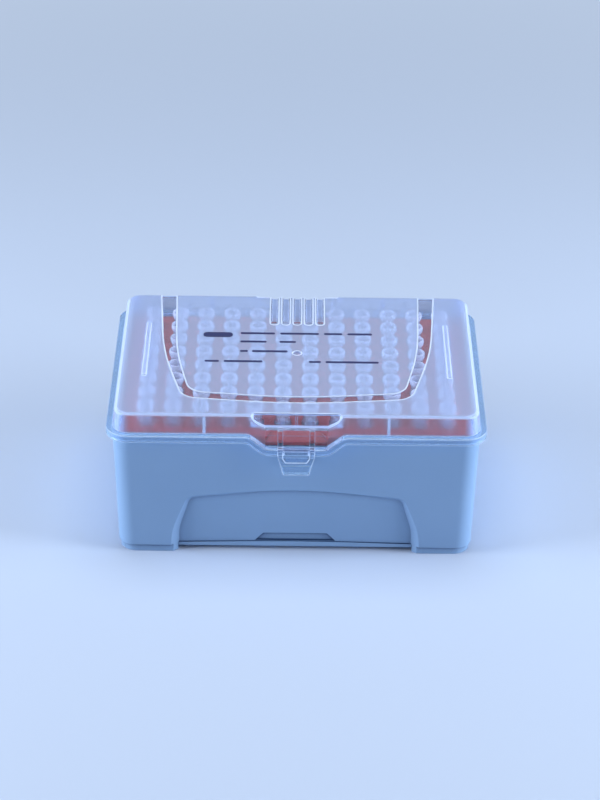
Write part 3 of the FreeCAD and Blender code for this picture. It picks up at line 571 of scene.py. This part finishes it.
def clearPolypropylene(name):
    # see-through with a faint blue cast; frosted zones blur what is behind,
    # and edges get a painted glow, milkier and paler, where light leaves the wall
    material, tree = newMaterial(name)
    place = millimetres(tree)
    x, y, z = addNode(tree, "ShaderNodeSeparateXYZ", {0: place}).outputs
    absX = addNode(tree, "ShaderNodeMath", {0: x}, operation="ABSOLUTE")
    absY = addNode(tree, "ShaderNodeMath", {0: y}, operation="ABSOLUTE")

    # distance outside the line of the long and the short walls
    wallX, wallY = lid["wallLine"]
    farX = addNode(tree, "ShaderNodeMath", {0: absX, 1: wallX}, operation="SUBTRACT")
    farY = addNode(tree, "ShaderNodeMath", {0: absY, 1: wallY}, operation="SUBTRACT")
    farthest = addNode(tree, "ShaderNodeMath", {0: farX, 1: farY}, operation="MAXIMUM")

    # distance outside the middle line of the U
    halfBack, closing, front, bow = lid["panel"]
    panelBack = tubHigh.y / mm - lid["panelBack"]
    fromBack = addNode(tree, "ShaderNodeMath", {0: panelBack, 1: y}, operation="SUBTRACT")
    reach = addNode(tree, "ShaderNodeMath", {0: fromBack, 1: fromBack}, operation="MULTIPLY")
    sideLine = addNode(tree, "ShaderNodeMath", {0: reach, 1: -closing, 2: halfBack},
                       operation="MULTIPLY_ADD")
    across = addNode(tree, "ShaderNodeMath", {0: absX, 1: sideLine}, operation="SUBTRACT")
    squareX = addNode(tree, "ShaderNodeMath", {0: x, 1: x}, operation="MULTIPLY")
    frontLine = addNode(tree, "ShaderNodeMath", {0: squareX, 1: bow, 2: front},
                        operation="MULTIPLY_ADD")
    along = addNode(tree, "ShaderNodeMath", {0: frontLine, 1: y}, operation="SUBTRACT")
    outside = addNode(tree, "ShaderNodeMath", {0: across, 1: along, 2: lid["panelCorner"]},
                      operation="SMOOTH_MAX")

    # 1 below the line where the rim begins, which dips at the front
    dipFloor, dipMouth, dipDeep = lid["dip"]
    rimHigh = tubHigh.z / mm + lid["rimTall"]
    rimLine = addNode(tree, "ShaderNodeMapRange", {
        "Value": absX, "From Min": dipFloor, "From Max": dipMouth,
        "To Min": rimHigh - dipDeep, "To Max": rimHigh})
    onRim = addNode(tree, "ShaderNodeMath", {0: z, 1: rimLine}, operation="LESS_THAN")

    # the polished window in the front wall, the gate mark, and the nearest rib
    top = lid["top"]
    windowFull, windowEnd = lid["window"]
    window = addNode(tree, "ShaderNodeMapRange", {
        "Value": absX, "From Min": windowFull, "From Max": windowEnd, "To Min": 1.0, "To Max": 0.0})
    fromGate = addNode(tree, "ShaderNodeVectorMath", {0: place, 1: (0, 0, top)},
                       operation="DISTANCE").outputs["Value"]
    fromLong = addNode(tree, "ShaderNodeMath", {0: absX, 1: lid["ribs"][0]}, operation="SUBTRACT")
    fromShort = addNode(tree, "ShaderNodeMath", {0: absY, 1: lid["ribs"][1]}, operation="SUBTRACT")
    byLong = addNode(tree, "ShaderNodeMath", {0: fromLong}, operation="ABSOLUTE")
    byShort = addNode(tree, "ShaderNodeMath", {0: fromShort}, operation="ABSOLUTE")
    fromRib = addNode(tree, "ShaderNodeMath", {0: byLong, 1: byShort}, operation="MINIMUM")

    # the round between two walls, and the shoulder along the short sides of the top
    roundTall = lid["roundTall"]
    middle = roundTall / 2
    cornering = addNode(tree, "ShaderNodeMath", {0: farX, 1: farY}, operation="MINIMUM")
    turning = addNode(tree, "ShaderNodeMapRange", {
        "Value": cornering, "From Min": -lid["turn"], "From Max": -middle,
        "To Min": 0.0, "To Max": 1.0})
    shoulder = addNode(tree, "ShaderNodeMapRange", {
        "Value": farX, "From Min": -lid["shoulder"], "From Max": -middle,
        "To Min": 0.0, "To Max": 1.0})

    # where each finish lies: its share there, then each value with the least and the most
    # that it may be
    low = -lid["far"]
    ceiling = top - lid["underTop"]
    bandFloor = top - lid["bandDeep"]
    tabHigh = rimHigh - dipDeep - lid["rimTall"]
    ledge = top - lid["scoopTall"]
    splay, splayReach = lid["scoopSide"]
    pastLedge, underFace = lid["scoopEnds"]
    atEnds = (absX, splay - splayReach, splay + splayReach)
    inScoop = (farY, *lid["scoopDeep"])
    onRound = (z, top - middle * (1 + lid["roundShare"]), top - middle * (1 - lid["roundShare"]))
    # the paintedHighlight zones are painted highlights: milky, pale strips where the lid's edges and
    # ribs catch the light
    zones = (
        ("satin", 1.0, (outside, low, 0.0)),
        ("polished", 1.0, (z, bandFloor - lid["bandNear"], bandFloor + lid["bandNear"])),
        ("satin", 1.0, (fromGate, 0.0, lid["gate"])),
        ("misty", 1.0, (z, low, ceiling)),
        ("paintedHighlight", 1.0, (z, low, ceiling), (fromRib, 0.0, lid["ribHalf"])),
        ("clear", window, (z, low, ledge)),
        ("clear", 1.0, (z, low, ceiling), (farthest, low, 0.0)),
        ("pale", turning, (z, rimHigh, ceiling)),
        ("paintedHighlight", shoulder, (z, ceiling, top + middle)),
        ("glossy", onRim),
        ("thin", 1.0, (absX, 0.0, lid["tabHalf"]), (z, low, tabHigh)),
        ("paintedHighlight", 1.0, onRound, (farthest, -roundTall, roundTall)),
        ("paintedHighlight", 1.0, (z, ledge - pastLedge, top - underFace), atEnds, inScoop),
        ("paintedHighlight", 1.0, (z, ledge - lid["ledgeHalf"], ledge + lid["ledgeHalf"]), (absX, 0.0, splay),
         inScoop),
    )
    finish = lid["frosted"]
    for zone, mask, *tests in zones:
        for value, least, most in tests:
            within = addNode(tree, "ShaderNodeMath", {
                0: value, 1: (least + most) / 2, 2: (most - least) / 2}, operation="COMPARE")
            mask = addNode(tree, "ShaderNodeMath", {0: mask, 1: within}, operation="MULTIPLY")
        finish = addNode(tree, "ShaderNodeMix", {"Factor": mask, "A": finish, "B": lid[zone]},
                         data_type="VECTOR").outputs["Result"]
    roughness, milk, glowing = addNode(tree, "ShaderNodeSeparateXYZ", {0: finish}).outputs

    # edges: eased for the light, and given a painted glow, milkier than the faces beside them
    eased = addNode(tree, "ShaderNodeBevel", {"Radius": lid["edge"] * mm}, samples=4)
    around = addNode(tree, "ShaderNodeBevel", {"Radius": lid["glowWide"] * mm}, samples=8)
    flat = addNode(tree, "ShaderNodeNewGeometry").outputs["Normal"]
    bend = addNode(tree, "ShaderNodeVectorMath", {0: around, 1: flat},
                   operation="DOT_PRODUCT").outputs["Value"]
    glowFrom, glowFull = lid["glowTurn"]
    paintedGlow = addNode(tree, "ShaderNodeMapRange", {
        "Value": bend, "From Min": glowFrom, "From Max": glowFull, "To Min": 0.0, "To Max": glowing})
    white = addNode(tree, "ShaderNodeMath", {0: milk, 1: paintedGlow}, operation="MAXIMUM")
    through = addNode(tree, "ShaderNodeMath", {0: 1.0, 1: white}, operation="SUBTRACT")

    # tint: neutral where it is clear, bluer where it is milky, palest along its edges for the painted
    # glow
    milky = addNode(tree, "ShaderNodeMapRange", {
        "Value": white, "From Min": 0.0, "From Max": lid["milkyAt"]})
    milkTint = addNode(tree, "ShaderNodeMix", {
        "Factor": onRim, "A": hexToLinear(lid["milkyTint"]), "B": hexToLinear(lid["rimTint"])},
        data_type="RGBA")
    bodyTint = addNode(tree, "ShaderNodeMix", {
        "Factor": milky, "A": hexToLinear(lid["clearTint"]), "B": milkTint.outputs["Result"]},
        data_type="RGBA")
    tint = addNode(tree, "ShaderNodeMix", {
        "Factor": paintedGlow, "A": bodyTint.outputs["Result"], "B": hexToLinear(lid["paintedGlowTint"])},
        data_type="RGBA")

    frost = addNode(tree, "ShaderNodeTexNoise", {
        "Vector": place, "Scale": 1 / lid["frost"], "Detail": 2.0})
    uneven = addNode(tree, "ShaderNodeMath", {0: roughness, 1: lid["frostShare"]},
                     operation="MULTIPLY")
    bump = addNode(tree, "ShaderNodeBump", {
        "Height": frost, "Strength": uneven, "Distance": lid["frostDeep"] * mm, "Normal": eased})
    shader = addNode(tree, "ShaderNodeBsdfPrincipled", {
        "Base Color": tint.outputs["Result"], "Roughness": roughness, "IOR": polypropyleneIor,
        "Transmission Weight": through, "Normal": bump})

    # for shadows most of the lid is plain clear, so that light reaches what is under it
    light = addNode(tree, "ShaderNodeBsdfTransparent", {"Color": hexToLinear(lid["shadeTint"])})
    shadow = addNode(tree, "ShaderNodeLightPath").outputs["Is Shadow Ray"]
    part = addNode(tree, "ShaderNodeMath", {0: shadow, 1: lid["shadeClear"]}, operation="MULTIPLY")
    mixed = addNode(tree, "ShaderNodeMixShader", {0: part, 1: shader, 2: light})
    addNode(tree, "ShaderNodeOutputMaterial", {"Surface": mixed})
    return material


nodes["lid"].material_slots[0].material = clearPolypropylene("lidPolypropylene")

# outline beads: the rounded lips of the panel, grooves, bars and scoop, painted pale as the highlight
# where light leaves the top
bead = {
    # pale: a painted highlight, in place of the light that leaves the lid's edges there
    "colour": "#CFE0FB",
    "roughness": (0.1, 0.3),    # least and most
    "flow": 4,          # mm, size of the uneven stretches in its gloss
    "half": 0.23,       # mm, half its width
    "high": 0.08,       # mm above the lid's top
    "low": 0.12,        # mm below it
    "flat": 0.02,       # mm, how near to the top a corner lies that belongs to it
    "corner": 4.6,      # mm, round of the top's own outline
    "clear": 0.25,      # mm, how far a bead stays inside that outline
    "mitre": 1.6,       # the most that a sharp turn widens it
    # outline of its section: shares of the half width, and up, level or down
    "section": ((-1, 0), (-0.6, 1), (0.6, 1), (1, 0), (0.6, -1), (-0.6, -1)),
}


def paintedHighlightLip(name):
    # glossy, and pale as a painted highlight, faintly uneven along its length, so it reads as a bright
    # line
    material, tree = newMaterial(name)
    flow = addNode(tree, "ShaderNodeTexNoise", {
        "Vector": millimetres(tree), "Scale": 1 / bead["flow"], "Detail": 1.0})
    least, most = bead["roughness"]
    gloss = addNode(tree, "ShaderNodeMapRange", {"Value": flow, "To Min": least, "To Max": most})
    shader = addNode(tree, "ShaderNodeBsdfPrincipled", {
        "Base Color": hexToLinear(bead["colour"]), "Roughness": gloss, "IOR": polypropyleneIor})
    addNode(tree, "ShaderNodeOutputMaterial", {"Surface": shader})
    return material


def topOutlines():
    # runs of corners round the flat parts of the lid's top, in mm, without its own outline
    mesh = nodes["lid"].data
    corners = [tuple(round(value / mm, 3) for value in vertex.co) for vertex in mesh.vertices]
    steps = {}      # an edge that two flat faces share is met once each way, and drops out
    for face in mesh.polygons:
        loop = [corners[i] for i in face.vertices]
        if all(abs(corner[2] - lid["top"]) < bead["flat"] for corner in loop):
            for here, there in zip(loop, loop[1:] + loop[:1]):
                if steps.pop((there, here), None) is None:
                    steps[here, there] = True
    halfX = max(abs(here[0]) for here, _ in steps) - bead["corner"]
    halfY = max(abs(here[1]) for here, _ in steps) - bead["corner"]

    def isOuter(corner):
        outX, outY = abs(corner[0]) - halfX, abs(corner[1]) - halfY
        beyond = math.hypot(max(outX, 0), max(outY, 0)) + min(max(outX, outY), 0)
        return beyond > bead["corner"] - bead["clear"]

    following = {here: there for here, there in steps if not (isOuter(here) and isOuter(there))}
    runs = []       # open runs from their own starts, then closed ones from anywhere
    for start in [here for here in following if here not in following.values()] + list(following):
        run = [start]
        while run[-1] in following:
            run.append(following.pop(run[-1]))
        if len(run) > 1:
            runs.append(run)
    return runs


def makeBeads():
    section = bead["section"]
    sides = len(section)
    points, faces = [], []
    for run in topOutlines():
        closed = run[0] == run[-1]
        line = [Vector(corner[:2]) for corner in (run[:-1] if closed else run)]
        start, count = len(points), len(line)
        for index, here in enumerate(line):
            ways = []       # into this corner, and out of it
            if closed or index:
                ways.append((here - line[index - 1]).normalized())
            if closed or index < count - 1:
                ways.append((line[(index + 1) % count] - here).normalized())
            along = sum(ways, Vector((0, 0))).normalized()
            side = Vector((along.y, -along.x))
            wider = min(1 / max(along.dot(ways[0]), 0.1), bead["mitre"])
            for across, up in section:
                spot = here + side * across * bead["half"] * wider
                height = lid["top"] + (bead["high"] if up > 0 else bead["low"]) * up
                points.append((spot.x * mm, spot.y * mm, height * mm))
        for ring in range(count if closed else count - 1):
            base, above = start + ring * sides, start + (ring + 1) % count * sides
            for i in range(sides):
                after = (i + 1) % sides
                faces.append((base + i, base + after, above + after, above + i))
        if not closed:
            last = start + (count - 1) * sides
            faces.append(tuple(start + i for i in reversed(range(sides))))
            faces.append(tuple(last + i for i in range(sides)))
    piece = meshPiece("lidOutlines", points, faces, paintedHighlightLip("paintedHighlightLip"), 50)
    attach(piece, "lid")
    print("outline beads:", len(faces), "faces")


makeBeads()

# print on the lid: plain dark bars, where a label's lines would be
label = {
    "ink": "#2C3263",
    "inkIor": 1.5,
    "roughness": (0.35, 0.6),   # least and most
    "speckle": 0.3,     # mm
    "thick": 0.03,      # mm of ink
    "lift": 0.01,       # mm above the lid
    "round": 0.4,       # share of a bar's height taken by its corner
    "cornerSteps": 4,
    # left, right, middle height and height of each bar, in mm from the middle of the lid
    "bars": (
        (-32.0, -22.0, 12.2, 3.4), (-19.3, -7.6, 13.4, 1.3), (-5.8, 7.4, 13.4, 1.3),
        (9.2, 15.4, 13.4, 1.3), (17.2, 25.6, 13.4, 1.3),
        (-19.3, -10.4, 7.6, 1.3), (-6.0, -0.4, 7.6, 1.3),
        (-19.3, -16.6, 1.0, 1.3), (-15.2, -3.2, 1.0, 1.3),
        (-31.0, -26.2, -6.0, 1.3), (-24.6, -11.6, -6.0, 1.3),
        (4.0, 8.0, -6.0, 1.3), (9.6, 27.4, -6.0, 1.3),
    ),
}


def padPrintInk(name):
    # a thin coat of dark ink, pressed on with a pad: satin, and uneven at a close look
    material, tree = newMaterial(name)
    speckle = addNode(tree, "ShaderNodeTexNoise", {
        "Vector": millimetres(tree), "Scale": 1 / label["speckle"], "Detail": 2.0})
    least, most = label["roughness"]
    gloss = addNode(tree, "ShaderNodeMapRange", {"Value": speckle, "To Min": least, "To Max": most})
    shader = addNode(tree, "ShaderNodeBsdfPrincipled", {
        "Base Color": hexToLinear(label["ink"]), "Roughness": gloss, "IOR": label["inkIor"]})
    addNode(tree, "ShaderNodeOutputMaterial", {"Surface": shader})
    return material


def roundedBar(left, right, middle, height):
    # outline of a bar with round corners, as points in mm, counted in quarters of a turn
    radius, steps = height * label["round"], label["cornerSteps"]
    upper, lower = middle + height / 2 - radius, middle - height / 2 + radius
    outline = []
    for quarter, (x, y) in enumerate((
            (right - radius, upper), (left + radius, upper),
            (left + radius, lower), (right - radius, lower))):
        for step in range(steps + 1):
            turn = (quarter + step / steps) * math.pi / 2
            outline.append((x + radius * math.cos(turn), y + radius * math.sin(turn)))
    return outline


def makeLabel():
    low = lid["top"] + label["lift"]
    points, faces = [], []
    for bar in label["bars"]:
        outline = roundedBar(*bar)
        start, count = len(points), len(outline)
        for height in (low, low + label["thick"]):
            points += [(x * mm, y * mm, height * mm) for x, y in outline]
        faces.append(tuple(start + i for i in reversed(range(count))))
        faces.append(tuple(start + count + i for i in range(count)))
        for i in range(count):
            after = start + (i + 1) % count
            faces.append((start + i, after, after + count, start + count + i))
    piece = meshPiece("labelPrint", points, faces, padPrintInk("padPrintInk"))
    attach(piece, "lid")


makeLabel()
print("lid and label finished")

bpy.context.scene.view_settings.view_transform = "Standard"
